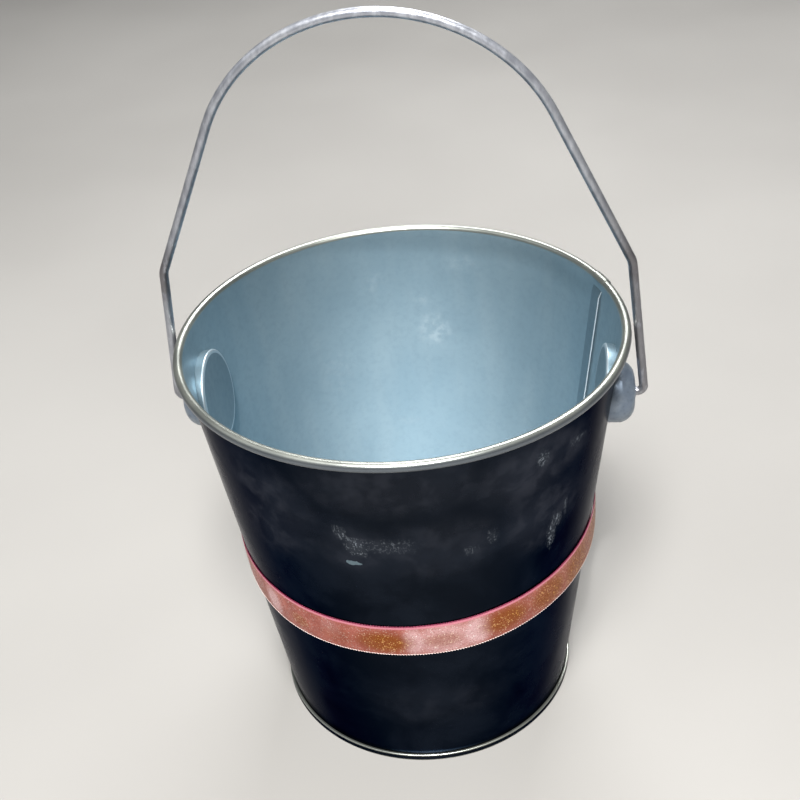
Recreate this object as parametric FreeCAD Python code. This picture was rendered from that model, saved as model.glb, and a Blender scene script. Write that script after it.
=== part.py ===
"""Florist bucket: a tapered galvanised pail with a wire bail and a ribbon round its waist.

Millimetres. The origin is the middle of the foot, on the surface the bucket stands on.
+Z is up, X runs through the two ears, and the bail leans a little towards -Y at rest.
"""
import FreeCAD
import Part
import math
import os

from FreeCAD import Vector

# Bucket
height = 150.5
rim_radius = 75.0            # outside of the rolled rim
curl_radius = 1.6            # outside radius of the rim's roll
curl_turn = 292.0            # degrees that the roll goes round
sheet = 0.35                 # steel thickness
foot_wall_radius = 54.6      # outside of the wall at the foot
foot_wall_height = 3.2       # upright stretch of wall above the table

# Double seam between the wall and the base
seam_height = 2.6
hook_top = 2.0               # top of the wall's own turned-up edge
cover_hook_end = 0.95        # lower end of the base's turned-in edge
tight_bend = 0.225           # mid-line radius of the seam's inner folds
foot_bend = 0.275            # mid-line radius of the folds that the foot stands on
floor_height = 4.0           # top of the base panel
floor_bend = 0.6

# Lock seam that closes the wall, and its lap on the rim
lock_start = 21.1            # degrees from +X
lock_width = 4.9             # degrees
lock_rise = 0.8
lock_top_gap = 3.6           # from the top of the rim down to the top of the lock
lap_start = 21.3
lap_width = 6.0

# Bail, in its own plane: x across, s up from the pivot line
pivot_height = 123.5
bail_lean = 5.0              # degrees towards -Y
wire_radius = 1.5
hook_half_width = 80.0
hook_bend = 2.2
kink_half_width = 74.2
kink_height = 51.6
kink_bend = 9.0
bow_radius = 56.1
bow_height = 77.4            # centre of the bow above the pivot line
wire_end = 67.6              # x of the wire's end, inside the ear

# Ears
bore_radius = 1.55
sleeve_radius = 3.4
sleeve_end = 66.6
wall_hole_radius = 3.5
boss_radius = 10.5
boss_shoulder = 72.0         # x where the boss starts to round over
boss_top = 76.6
boss_flat_radius = 3.2
boss_wall = 0.9
lip_radius = 2.3
lip_top = 77.2
cap_radius = 16.0
cap_proud = 3.5              # how far the cap stands in from the wall
cap_edge = 0.8               # radius on the cap's edge

# Ribbon
ribbon_top = 80.3            # height of its upper edge on the bucket's axis
ribbon_width = 13.7
ribbon_thick = 0.4
ribbon_gap = 0.06            # least space between the upper edge and the wall
ribbon_rise_x = 0.027        # how much the ribbon climbs per mm of x and of y
ribbon_rise_y = 0.066
ribbon_lap_start = 82.0      # degrees from +X
ribbon_lap_width = 12.0

ORIGIN = Vector(0, 0, 0)
X_AXIS = Vector(1, 0, 0)
Z_AXIS = Vector(0, 0, 1)

# Where the wall leaves its upright foot and runs straight up to the rim's roll
curl_mid_radius = curl_radius - sheet / 2
curl_centre = Vector(rim_radius - curl_radius, 0, height - curl_radius)
foot_mid_radius = foot_wall_radius - sheet / 2
run_x = curl_centre.x - foot_mid_radius
run_z = curl_centre.z - foot_wall_height
wall_slant = math.acos(curl_mid_radius / math.hypot(run_x, run_z)) - math.atan2(run_z, run_x)
wall_run = math.sqrt(run_x ** 2 + run_z ** 2 - curl_mid_radius ** 2)


def wall_radius(z, inset=0.0):
    """Outside radius of the slanted wall at height z, less inset square to the wall."""
    at_foot = foot_mid_radius + sheet / 2 / math.cos(wall_slant)
    return at_foot + (z - foot_wall_height) * math.tan(wall_slant) - inset / math.cos(wall_slant)


def polar(radius, degrees):
    angle = math.radians(degrees)
    return Vector(radius * math.cos(angle), 0, radius * math.sin(angle))


def sheet_section(start, heading, moves, thickness=sheet):
    """Face in the XZ plane: the section of a bent sheet.

    The mid-line begins at start and points along heading, in degrees from +X towards +Z.
    Each move is (length, 0) for a straight run, or (radius, turn) for a bend, where a
    positive turn is to the left.
    """
    sides = ([], [])
    place = Vector(start)
    for size, turn in moves:
        if turn == 0:
            after = place + polar(size, heading)
            for side, edges in zip((1, -1), sides):
                shift = polar(side * thickness / 2, heading + 90)
                edges.append(Part.LineSegment(place + shift, after + shift).toShape())
        else:
            way = 1 if turn > 0 else -1
            centre = place + polar(way * size, heading + 90)
            for side, edges in zip((1, -1), sides):
                radius = size - side * way * thickness / 2
                points = [
                    centre - polar(way * radius, heading + 90 + turn * part)
                    for part in (0, 0.5, 1)
                ]
                edges.append(Part.Arc(*points).toShape())
            after = centre - polar(way * size, heading + 90 + turn)
            heading = heading + turn
        place = after
    left, right = sides
    first_cap = Part.LineSegment(right[0].firstVertex().Point, left[0].firstVertex().Point)
    last_cap = Part.LineSegment(left[-1].lastVertex().Point, right[-1].lastVertex().Point)
    edges = left + right + [first_cap.toShape(), last_cap.toShape()]
    return Part.Face(Part.Wire(Part.__sortEdges__(edges)))


def polygon(points):
    corners = [Vector(x, 0, z) for x, z in points]
    return Part.Face(Part.makePolygon(corners + corners[:1]))


def turned(face, start=0.0, sweep=360.0):
    """Solid made by turning a section in the XZ plane about Z, from start degrees."""
    solid = face.revolve(ORIGIN, Z_AXIS, sweep)
    solid.rotate(ORIGIN, Z_AXIS, start)
    return solid


def bucket_cone(inset):
    """Solid cone that fills the bucket out to inset inside the wall's outer face."""
    low, high = foot_wall_height, height
    return Part.makeCone(wall_radius(low, inset), wall_radius(high, inset), high - low, Vector(0, 0, low))


def ear_hole(radius):
    length = 2 * rim_radius
    return Part.makeCylinder(radius, 2 * length, Vector(-length, 0, pivot_height), X_AXIS)


def bucket_shell():
    """One rolled sheet: seam hook at the foot, slanted wall, and the rim's open roll."""
    hook_radius = foot_mid_radius + 2 * sheet
    bottom = sheet * 1.5
    setback = tight_bend * math.tan(wall_slant / 2)
    section = sheet_section(
        Vector(hook_radius, 0, hook_top),
        -90,
        [
            (hook_top - bottom - tight_bend, 0),
            (tight_bend, -90),
            (2 * sheet - 2 * tight_bend, 0),
            (tight_bend, -90),
            (foot_wall_height - bottom - tight_bend - setback, 0),
            (tight_bend, -math.degrees(wall_slant)),
            (wall_run - setback, 0),
            (curl_mid_radius, -curl_turn),
        ],
    )
    shell = turned(section)
    shell = shell.fuse([lock_seam(), rim_lap()]).removeSplitter()
    return shell.cut(ear_hole(wall_hole_radius))


def lock_seam():
    """Flattened fold up the inside of the wall, where the sheet's two edges lock."""
    low = floor_height + 0.4
    high = height - lock_top_gap
    half = sheet / 2
    face = polygon([
        (wall_radius(low, half), low),
        (wall_radius(high, half), high),
        (wall_radius(high, sheet + lock_rise), high),
        (wall_radius(low, sheet + lock_rise), low),
    ])
    return turned(face, lock_start, lock_width)


def rim_lap():
    """Short outer layer of the rim's roll, where one end of the sheet laps the other."""
    lap_mid_radius = curl_radius + sheet / 2 - 0.05
    begin = 160.0
    section = sheet_section(
        curl_centre + polar(lap_mid_radius, begin),
        begin - 90,
        [(lap_mid_radius, -250)],
    )
    return turned(section, lap_start, lap_width)


def base_disc():
    """Recessed base panel whose edge wraps the wall's hook in a double seam."""
    skirt_radius = foot_mid_radius - sheet
    outer_radius = foot_mid_radius + 3 * sheet
    half = sheet / 2
    panel_mid = floor_height - half
    section = sheet_section(
        Vector(0, 0, panel_mid),
        0,
        [
            (skirt_radius - floor_bend, 0),
            (floor_bend, -90),
            (panel_mid - floor_bend - half - foot_bend, 0),
            (foot_bend, 90),
            (outer_radius - skirt_radius - 2 * foot_bend, 0),
            (foot_bend, 90),
            (seam_height - 2 * half - foot_bend - tight_bend, 0),
            (tight_bend, 90),
            (2 * sheet - 2 * tight_bend, 0),
            (tight_bend, 90),
            (seam_height - half - tight_bend - cover_hook_end, 0),
        ],
    )
    return turned(section)


def bail_wire():
    """Round wire: bow over the top, a kink in each leg, and a hook into each ear."""
    reach = math.hypot(kink_half_width, kink_height - bow_height)
    base_angle = math.atan2(kink_height - bow_height, kink_half_width)
    touch = base_angle + math.acos(bow_radius / reach)
    touch_point = Vector(
        bow_radius * math.cos(touch), 0, bow_height + bow_radius * math.sin(touch)
    )
    corners = [
        Vector(wire_end, 0, 0),
        Vector(hook_half_width, 0, 0),
        Vector(kink_half_width, 0, kink_height),
        touch_point,
    ]
    right = rounded_run(corners, [hook_bend, kink_bend])
    left = [edge.mirror(ORIGIN, X_AXIS) for edge in right]
    mirrored_touch = Vector(-touch_point.x, 0, touch_point.z)
    bow_top = Vector(0, 0, bow_height + bow_radius)
    bow = Part.Arc(touch_point, bow_top, mirrored_touch).toShape()
    path = Part.Wire(Part.__sortEdges__(right + [bow] + left))
    ring = Part.Wire(Part.Circle(Vector(wire_end, 0, 0), X_AXIS, wire_radius).toShape())
    wire = path.makePipeShell([ring], True, False)
    wire.translate(Vector(0, 0, pivot_height))
    wire.rotate(Vector(0, 0, pivot_height), X_AXIS, bail_lean)
    return wire


def rounded_run(corners, bends):
    """Straight edges through corners, with an arc of the given radius at each inner one."""
    edges = []
    place = corners[0]
    for before, corner, after, bend in zip(corners, corners[1:], corners[2:], bends):
        way_in = (corner - before).normalize()
        way_out = (after - corner).normalize()
        turn = way_in.getAngle(way_out)
        setback = bend * math.tan(turn / 2)
        arc_start = corner - way_in * setback
        arc_end = corner + way_out * setback
        inward = (way_out - way_in).normalize()
        arc_middle = corner + inward * (bend / math.cos(turn / 2) - bend)
        edges.append(Part.LineSegment(place, arc_start).toShape())
        edges.append(Part.Arc(arc_start, arc_middle, arc_end).toShape())
        place = arc_end
    edges.append(Part.LineSegment(place, corners[-1]).toShape())
    return edges


def about_ear_axis(edges):
    """Solid made by turning a section, drawn as x along and z out from the ear's axis."""
    face = Part.Face(Part.Wire(Part.__sortEdges__(edges)))
    solid = face.revolve(ORIGIN, X_AXIS, 360)
    solid.translate(Vector(0, 0, pivot_height))
    return solid


def lines(points):
    corners = [Vector(x, 0, z) for x, z in points]
    return [Part.LineSegment(a, b).toShape() for a, b in zip(corners, corners[1:])]


def round_over(start, end, bulge):
    """Arc from start to end in the XZ plane, bowed out by bulge."""
    a = Vector(start[0], 0, start[1])
    b = Vector(end[0], 0, end[1])
    across = (b - a).normalize()
    outward = Vector(-across.z, 0, across.x)
    if outward.x + outward.z < 0:
        outward = outward * -1
    return Part.Arc(a, (a + b) * 0.5 + outward * bulge, b).toShape()


def ear_boss():
    """Hollow domed button outside the wall, with a sleeve that the wire turns in."""
    skirt_end = wall_radius(pivot_height) - 4.0
    shoulder = (boss_shoulder, boss_radius)
    crown = (boss_top, boss_flat_radius)
    inner_shoulder = (boss_shoulder, boss_radius - boss_wall)
    inner_crown = (boss_top - boss_wall, sleeve_radius)
    bulge = 1.9
    outline = lines([
        crown,
        (boss_top, lip_radius + 0.3),
        (lip_top, lip_radius),
        (lip_top, bore_radius),
        (boss_top - boss_wall, bore_radius),
        inner_crown,
    ])
    outline.append(round_over(inner_crown, inner_shoulder, bulge))
    outline += lines([
        inner_shoulder,
        (skirt_end, boss_radius - boss_wall),
        (skirt_end, boss_radius),
        shoulder,
    ])
    outline.append(round_over(shoulder, crown, bulge))
    dome = about_ear_axis(outline).cut(bucket_cone(0))
    sleeve = about_ear_axis(lines([
        (sleeve_end, bore_radius),
        (boss_top - boss_wall, bore_radius),
        (boss_top - boss_wall, sleeve_radius),
        (sleeve_end, sleeve_radius),
        (sleeve_end, bore_radius),
    ]))
    return dome.fuse(sleeve).removeSplitter()


def ear_cap():
    """Closed round cap inside the wall, with a socket for the end of the sleeve."""
    inside = wall_radius(pivot_height, sheet)
    slant = math.degrees(wall_slant)
    section = [
        Part.Arc(
            Vector(0, 0, cap_radius - cap_edge),
            Vector(cap_edge * (1 - math.sqrt(0.5)), 0, cap_radius - cap_edge * (1 - math.sqrt(0.5))),
            Vector(cap_edge, 0, cap_radius),
        ).toShape()
    ]
    section += lines([
        (cap_edge, cap_radius),
        (3 * cap_proud, cap_radius),
        (3 * cap_proud, 0),
        (0, 0),
        (0, cap_radius - cap_edge),
    ])
    cap = about_ear_axis(section)
    cap.translate(Vector(inside - cap_proud, 0, 0))
    cap.rotate(Vector(inside, 0, pivot_height), Vector(0, 1, 0), slant)
    cap = cap.common(bucket_cone(sheet))
    socket = Part.makeCylinder(sleeve_radius, 20, Vector(sleeve_end - 0.1, 0, pivot_height), X_AXIS)
    return cap.cut(socket)


def ribbon_band():
    """Closed band of ribbon, tilted, tight at its upper edge, with its lap at the back."""
    slope = math.tan(wall_slant)
    at_wall = wall_radius(ribbon_top)
    rise = math.hypot(ribbon_rise_x, ribbon_rise_y)
    inner = at_wall * math.sqrt(1 + rise ** 2) + ribbon_gap
    outer = inner + ribbon_thick
    band = turned(polygon([(inner, -ribbon_width), (outer, -ribbon_width), (outer, 0), (inner, 0)]))
    lap = turned(
        polygon([
            (outer - ribbon_thick / 2, -ribbon_width),
            (outer + ribbon_thick, -ribbon_width),
            (outer + ribbon_thick, 0),
            (outer - ribbon_thick / 2, 0),
        ]),
        ribbon_lap_start,
        ribbon_lap_width,
    )
    band = band.fuse(lap).removeSplitter()
    up = Vector(-ribbon_rise_x, -ribbon_rise_y, 1).normalize()
    shift = Vector(slope * ribbon_rise_x * at_wall, slope * ribbon_rise_y * at_wall, ribbon_top)
    band.Placement = FreeCAD.Placement(shift, FreeCAD.Rotation(Z_AXIS, up))
    return band


def mirrored(shape):
    return shape.mirror(ORIGIN, X_AXIS)


def write(node, shape):
    """Write one node's only solid, and say what it is."""
    solid = shape.Solids[0]
    solid.exportStep("parts/" + node + ".step")
    print(node, "solids", len(shape.Solids), "valid", shape.isValid(), "volume", round(solid.Volume, 1))


def main():
    os.makedirs("parts", exist_ok=True)
    boss = ear_boss()
    cap = ear_cap()
    nodes = {
        "bucket_shell": bucket_shell(),
        "base_disc": base_disc(),
        "bail_wire": bail_wire(),
        "ear_boss_right": boss,
        "ear_boss_left": mirrored(boss),
        "ear_cap_right": cap,
        "ear_cap_left": mirrored(cap),
        "ribbon_band": ribbon_band(),
    }
    for node, shape in nodes.items():
        write(node, shape)


main()
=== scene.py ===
"""Florist bucket: the finished look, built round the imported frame.

Metres, in the frame's own axes: +Z up, X through the two ears, the middle of the foot at
the origin. Angles named azimuth are degrees round +Z from +X.
"""

import math

import bmesh
import bpy
from mathutils import Matrix, Vector, noise


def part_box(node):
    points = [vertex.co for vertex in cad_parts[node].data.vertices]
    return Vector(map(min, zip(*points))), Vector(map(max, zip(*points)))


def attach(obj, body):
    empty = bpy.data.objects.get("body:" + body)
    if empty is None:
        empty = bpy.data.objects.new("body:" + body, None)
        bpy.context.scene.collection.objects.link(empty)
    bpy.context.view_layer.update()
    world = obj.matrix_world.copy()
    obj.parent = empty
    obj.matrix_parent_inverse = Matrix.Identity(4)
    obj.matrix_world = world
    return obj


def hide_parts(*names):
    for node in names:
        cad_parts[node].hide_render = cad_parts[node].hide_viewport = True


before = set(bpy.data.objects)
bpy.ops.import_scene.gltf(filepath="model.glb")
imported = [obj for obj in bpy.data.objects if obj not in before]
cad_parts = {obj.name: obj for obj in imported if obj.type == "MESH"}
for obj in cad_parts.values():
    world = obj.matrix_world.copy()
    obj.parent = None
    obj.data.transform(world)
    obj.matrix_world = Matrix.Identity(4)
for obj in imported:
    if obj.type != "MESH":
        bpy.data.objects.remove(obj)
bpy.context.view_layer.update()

MM = 0.001

# Driving dimensions, read from the frame where it holds them
shell_low, shell_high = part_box("bucket_shell")
boss_low, boss_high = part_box("ear_boss_right")
base_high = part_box("base_disc")[1]
bail_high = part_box("bail_wire")[1]
cap_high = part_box("ear_cap_right")[1]
PIVOT_HEIGHT = (boss_low.z + boss_high.z) / 2

SHEET = 0.35 * MM                      # steel thickness
LAP_PROUD = 0.3 * MM                   # how far the rim's lap stands above the rim
RIM_RADIUS = -shell_low.y
RIM_TOP = shell_high.z - LAP_PROUD
CURL_RADIUS = 1.6 * MM                 # outside radius of the rim's roll
CURL_TURN = 292.0                      # degrees that the roll goes round
FLOOR_TOP = base_high.z                # top of the base panel
FOOT_RADIUS = base_high.x
FOOT_WALL_RADIUS = FOOT_RADIUS - 3 * SHEET
FOOT_WALL_HEIGHT = 3.2 * MM
SEAM_HEIGHT = 2.6 * MM                 # double seam at the foot
HOOK_TOP = 2.0 * MM
COVER_HOOK_END = 0.95 * MM
TIGHT_BEND = 0.225 * MM
FOOT_BEND = 0.275 * MM
FLOOR_BEND = 0.6 * MM

LOCK_START = 21.1                      # azimuth of the wall's lock seam
LOCK_WIDTH = 4.9
LOCK_RISE = 0.8 * MM
LOCK_TOP_GAP = 3.6 * MM
LAP_START = 21.3
LAP_WIDTH = 6.0

BAIL_LEAN = 5.0                        # degrees towards -Y at rest
WIRE_RADIUS = 1.5 * MM
HOOK_BEND = 2.2 * MM
HOOK_INSET = 1.24 * MM                 # from the bail's widest point to its hooks' mid-line corner
HOOK_HALF_WIDTH = bail_high.x - HOOK_INSET
KINK_HALF_WIDTH = 74.2 * MM
KINK_HEIGHT = 51.6 * MM
KINK_BEND = 9.0 * MM
BOW_RADIUS = 56.1 * MM
BOW_HEIGHT = 77.4 * MM                 # centre of the bow above the pivot
WIRE_END = 67.6 * MM

BOSS_RADIUS = (boss_high.z - boss_low.z) / 2
LIP_TOP = boss_high.x
BOSS_TOP = LIP_TOP - 0.6 * MM
BOSS_SHOULDER = 72.0 * MM
BOSS_FLAT_RADIUS = 3.2 * MM
BOSS_WALL = 0.9 * MM
BOSS_BULGE = 1.9 * MM
LIP_RADIUS = 2.3 * MM
BORE_RADIUS = 1.55 * MM
SLEEVE_RADIUS = 3.4 * MM
SLEEVE_END = boss_low.x
WALL_HOLE_RADIUS = 3.5 * MM
CAP_RADIUS = cap_high.y
CAP_PROUD = 3.5 * MM
CAP_EDGE = 0.8 * MM
CAP_WALL = 0.5 * MM

RIBBON_TOP = 80.3 * MM                 # height of the upper edge on the bucket's axis
RIBBON_WIDTH = 13.7 * MM
RIBBON_THICK = 0.3 * MM
RIBBON_GAP = 0.2 * MM                  # from the wall to the ribbon's mid-line at its upper edge
RIBBON_RISE_X = 0.027
RIBBON_RISE_Y = 0.066
RIBBON_LAP_START = 82.0
RIBBON_LAP_WIDTH = 12.0
RIBBON_LAP_STEP = 0.42 * MM

# The wall's slant, from its upright foot to the rim's roll
CURL_MID = CURL_RADIUS - SHEET / 2
CURL_CENTRE = (RIM_RADIUS - CURL_RADIUS, RIM_TOP - CURL_RADIUS)
FOOT_MID = FOOT_WALL_RADIUS - SHEET / 2
RUN_X = CURL_CENTRE[0] - FOOT_MID
RUN_Z = CURL_CENTRE[1] - FOOT_WALL_HEIGHT
SLANT = math.acos(CURL_MID / math.hypot(RUN_X, RUN_Z)) - math.atan2(RUN_Z, RUN_X)
WALL_RUN = math.sqrt(RUN_X ** 2 + RUN_Z ** 2 - CURL_MID ** 2)


# ------------------------ small helpers

def wall_radius(z, inset=0.0):
    """Outside radius of the slanted wall at height z, less inset square to the wall."""
    at_foot = FOOT_MID + SHEET / 2 / math.cos(SLANT)
    return at_foot + (z - FOOT_WALL_HEIGHT) * math.tan(SLANT) - inset / math.cos(SLANT)


def smooth_step(low, high, value):
    share = min(1.0, max(0.0, (value - low) / (high - low)))
    return share * share * (3 - 2 * share)


def around(azimuth, other):
    """Signed degrees from other to azimuth, the short way round."""
    return (azimuth - other + 180) % 360 - 180


def on_wall(radius, azimuth, z):
    angle = math.radians(azimuth)
    return Vector((radius * math.cos(angle), radius * math.sin(angle), z))


def waves(seed, *place):
    """Smooth noise from -1 to 1 at a place, different for each seed."""
    x, y, z = place
    return noise.noise(Vector((x + 17.3 * seed, y - 9.1 * seed, z + 5.7 * seed)))


def patch(azimuth, z, spots):
    """Strength of a list of soft spots (azimuth, height mm, half width mm, half height mm, strength)."""
    total = 0.0
    for spot_azimuth, spot_z, half_width, half_height, strength in spots:
        across = math.radians(around(azimuth, spot_azimuth)) * wall_radius(spot_z * MM) / MM
        up = z / MM - spot_z
        distance = math.hypot(across / half_width, up / half_height)
        total = max(total, strength * (1 - smooth_step(0.35, 1.0, distance)))
    return total


# ------------------------ bent sections

def bent_sheet(start, heading, moves, step):
    """Mid-line of a bent sheet's section: points of (x, z, angle, move number).

    heading is in degrees from +X towards +Z. Each move is (length, 0) for a straight run,
    cut into pieces about step long, or (radius, turn) for a bend, where a positive turn
    is to the left.
    """
    x, z = start
    angle = math.radians(heading)
    line = [(x, z, angle, 0)]
    for number, (size, turn) in enumerate(moves):
        if turn == 0:
            count = max(1, round(size / step))
            for i in range(count):
                x += size / count * math.cos(angle)
                z += size / count * math.sin(angle)
                line.append((x, z, angle, number))
        else:
            way = math.copysign(1, turn)
            centre_x = x - way * size * math.sin(angle)
            centre_z = z + way * size * math.cos(angle)
            count = max(4, math.ceil(abs(turn) / 14))
            for i in range(count):
                angle += math.radians(turn) / count
                x = centre_x + way * size * math.sin(angle)
                z = centre_z - way * size * math.cos(angle)
                line.append((x, z, angle, number))
    return line


def sheet_loop(line, thickness):
    """Closed outline of a bent sheet: (x, z, side, move number), the left side first."""
    left = [(x - math.sin(a) * thickness / 2, z + math.cos(a) * thickness / 2, "left", n)
            for x, z, a, n in line]
    right = [(x + math.sin(a) * thickness / 2, z - math.cos(a) * thickness / 2, "right", n)
             for x, z, a, n in line]
    return left + right[::-1]


def arc_points(start, end, bulge, count):
    """Points after start up to end along an arc bowed to the right of the way by bulge.

    A negative bulge bows it to the left.
    """
    a, b = Vector(start), Vector(end)
    chord = b - a
    half = chord.length / 2
    radius = (half ** 2 + bulge ** 2) / (2 * bulge)
    across = Vector((chord.y, -chord.x)).normalized()
    centre = (a + b) / 2 + across * (bulge - radius)
    first = math.atan2(a.y - centre.y, a.x - centre.x)
    turn = 2 * math.asin(half / radius)
    points = []
    for i in range(1, count + 1):
        angle = first + turn * i / count
        points.append((centre.x + abs(radius) * math.cos(angle),
                       centre.y + abs(radius) * math.sin(angle)))
    return points


# ------------------------ pieces

def placed(name, data):
    """New object in the scene, with its origin at the frame's."""
    made = bpy.data.objects.new(name, data)
    bpy.context.scene.collection.objects.link(made)
    return made


def piece(name, points, faces, looks, body, replaced=(), face_looks=None, crease=38):
    """Mesh object from points and faces, that rides on a body and stands for CAD nodes."""
    mesh = bpy.data.meshes.new(name)
    mesh.from_pydata([tuple(p) for p in points], [], faces)
    for look in looks:
        mesh.materials.append(look)
    if face_looks:
        mesh.polygons.foreach_set("material_index", face_looks)
    made = placed(name, mesh)
    clean(mesh, crease)
    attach(made, body)
    if replaced:
        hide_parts(*replaced)
    return made


def clean(mesh, crease):
    """Joins doubled points, turns all faces outward, and shades smooth up to a crease."""
    work = bmesh.new()
    work.from_mesh(mesh)
    bmesh.ops.remove_doubles(work, verts=work.verts, dist=1e-7)
    bmesh.ops.dissolve_degenerate(work, edges=work.edges, dist=1e-8)
    bmesh.ops.recalc_face_normals(work, faces=work.faces)
    work.to_mesh(mesh)
    work.free()
    mesh.polygons.foreach_set("use_smooth", [True] * len(mesh.polygons))
    mesh.set_sharp_from_angle(angle=math.radians(crease))
    mesh.update()


def grid(rows, columns, join_rows=True, join_columns=True):
    """Quads over points stored column by column, each column having rows points."""
    faces = []
    for j in range(columns if join_columns else columns - 1):
        for i in range(rows if join_rows else rows - 1):
            here, over = j * rows, (j + 1) % columns * rows
            up = (i + 1) % rows
            faces.append((here + i, over + i, over + up, here + up))
    return faces


def paint_marks(made, name, spots):
    paint(made, name, lambda p: patch(seen_from_axis(p), p.z, spots))


def closed_strip(rows, columns):
    """Quads over columns of rows points, each column a closed outline, with a face at each end."""
    last = rows * (columns - 1)
    ends = [tuple(range(rows)), tuple(range(last, last + rows))[::-1]]
    return grid(rows, columns, join_columns=False) + ends


def paint(made, name, value_at):
    """Stores value_at(point) on each point of a mesh, for its material to read."""
    layer = made.data.attributes.new(name, "FLOAT", "POINT")
    layer.data.foreach_set("value", [value_at(v.co) for v in made.data.vertices])


def seen_from_axis(point):
    """Azimuth of a point."""
    return math.degrees(math.atan2(point.y, point.x)) % 360


# ------------------------ node materials

class Look:
    """A node material on one Principled shader, built a node at a time."""

    def __init__(self, name, **sockets):
        self.material = bpy.data.materials.new(name)
        self.material.use_nodes = True
        self.nodes = self.material.node_tree.nodes
        self.links = self.material.node_tree.links
        self.shader = self.nodes["Principled BSDF"]
        for socket, value in sockets.items():
            self.shader.inputs[socket.replace("_", " ")].default_value = value
        self.place = self.add("ShaderNodeTexCoord").outputs["Object"]

    def add(self, kind, **settings):
        node = self.nodes.new(kind)
        for key, value in settings.items():
            setattr(node, key, value)
        return node

    def feed(self, node, socket, value):
        if hasattr(value, "is_linked"):
            self.links.new(value, node.inputs[socket])
        else:
            node.inputs[socket].default_value = value

    def scaled(self, x, y, z, source=None):
        """The place on the piece, stretched by a scale per axis."""
        node = self.add("ShaderNodeMapping")
        self.feed(node, "Vector", self.place if source is None else source)
        node.inputs["Scale"].default_value = (x, y, z)
        return node.outputs["Vector"]

    def noise(self, vector, scale, detail=3.0, roughness=0.5, distortion=0.0):
        node = self.add("ShaderNodeTexNoise")
        self.feed(node, "Vector", vector)
        for socket, value in (("Scale", scale), ("Detail", detail),
                              ("Roughness", roughness), ("Distortion", distortion)):
            node.inputs[socket].default_value = value
        return node.outputs["Fac"]

    def cells(self, vector, scale):
        """A random colour for each cell of a crazed pattern."""
        node = self.add("ShaderNodeTexVoronoi")
        self.feed(node, "Vector", vector)
        node.inputs["Scale"].default_value = scale
        return node.outputs["Color"]

    def painted(self, name):
        """What paint() stored on the mesh under this name."""
        return self.add("ShaderNodeAttribute", attribute_name=name).outputs["Fac"]

    def sums(self, operation, first, second=0.0, third=0.0, clamp=False):
        node = self.add("ShaderNodeMath", operation=operation, use_clamp=clamp)
        for socket, value in enumerate((first, second, third)):
            self.feed(node, socket, value)
        return node.outputs[0]

    def times(self, first, second):
        return self.sums("MULTIPLY", first, second)

    def plus(self, first, second, clamp=False):
        return self.sums("ADD", first, second, clamp=clamp)

    def remap(self, value, low, high, to_low=0.0, to_high=1.0):
        """Smooth step from to_low, where value is low, to to_high, where it is high."""
        node = self.add("ShaderNodeMapRange", interpolation_type="SMOOTHSTEP")
        self.feed(node, "Value", value)
        for socket, number in (("From Min", low), ("From Max", high),
                               ("To Min", to_low), ("To Max", to_high)):
            node.inputs[socket].default_value = number
        return node.outputs["Result"]

    def blend(self, factor, first, second):
        """Colour between first, at factor 0, and second, at factor 1."""
        node = self.add("ShaderNodeMix", data_type="RGBA")
        self.feed(node, 0, factor)
        for socket, value in ((6, first), (7, second)):
            self.feed(node, socket, value if hasattr(value, "is_linked") else (*value, 1.0))
        return node.outputs[2]

    def bump(self, height, distance, strength=1.0):
        node = self.add("ShaderNodeBump")
        node.inputs["Strength"].default_value = strength
        node.inputs["Distance"].default_value = distance
        self.feed(node, "Height", height)
        return node.outputs["Normal"]

    def set(self, **sockets):
        """Feeds the shader's sockets, and gives the finished material."""
        for socket, value in sockets.items():
            self.feed(self.shader, socket.replace("_", " "), value)
        return self.material


def tone(red, green, blue):
    """Scene-linear colour from the usual 0 to 255 numbers."""
    channels = []
    for number in (red, green, blue):
        share = number / 255
        channels.append(share / 12.92 if share <= 0.04045 else ((share + 0.055) / 1.055) ** 2.4)
    return tuple(channels)


def inner_zinc(name, metallic, shade=0.0, shine=0.0):
    """Smooth zinc inside the bucket: blue-grey, clouded, with faint upright streaks and rubs.

    shade darkens it as painted shade and shine makes it paler as a painted highlight, each from 0 to 1.
    """
    look = Look(name, Metallic=metallic, Specular_IOR_Level=0.5)
    clouds = look.noise(look.place, 26, detail=4, roughness=0.55)
    streaks = look.noise(look.scaled(1, 1, 0.12), 95, detail=3)
    mottle = look.noise(look.place, 420, detail=3, roughness=0.6)
    grain = look.noise(look.scaled(1, 1, 0.25), 1500, detail=2)
    rubs = look.painted("rubs")
    base = look.blend(look.remap(clouds, 0.3, 0.72), tone(122, 145, 157), tone(131, 153, 164))
    base = look.blend(look.remap(streaks, 0.42, 0.7, 0, 0.22), base, tone(148, 166, 174))
    base = look.blend(look.remap(mottle, 0.4, 0.75, 0, 0.25), base, tone(108, 129, 140))
    scratches = look.noise(look.place, 300, detail=5, roughness=0.65)
    rub_marks = look.times(rubs, look.remap(scratches, 0.42, 0.66))
    base = look.blend(look.times(rub_marks, 0.3), base, tone(196, 206, 210))
    # Painted shade, by shade, and painted highlight, by shine
    base = look.blend(shade, base, tone(48, 66, 78))
    base = look.blend(shine, base, tone(226, 236, 242))
    rough = look.remap(clouds, 0.3, 0.7, 0.36, 0.4)
    rough = look.plus(rough, look.remap(mottle, 0.3, 0.8, 0, 0.06))
    rough = look.plus(rough, look.times(rub_marks, 0.2))
    height = look.plus(look.times(mottle, 0.6), look.times(grain, 0.4))
    return look.set(Base_Color=base, Roughness=rough, Normal=look.bump(height, 0.03 * MM, 0.35))


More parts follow.
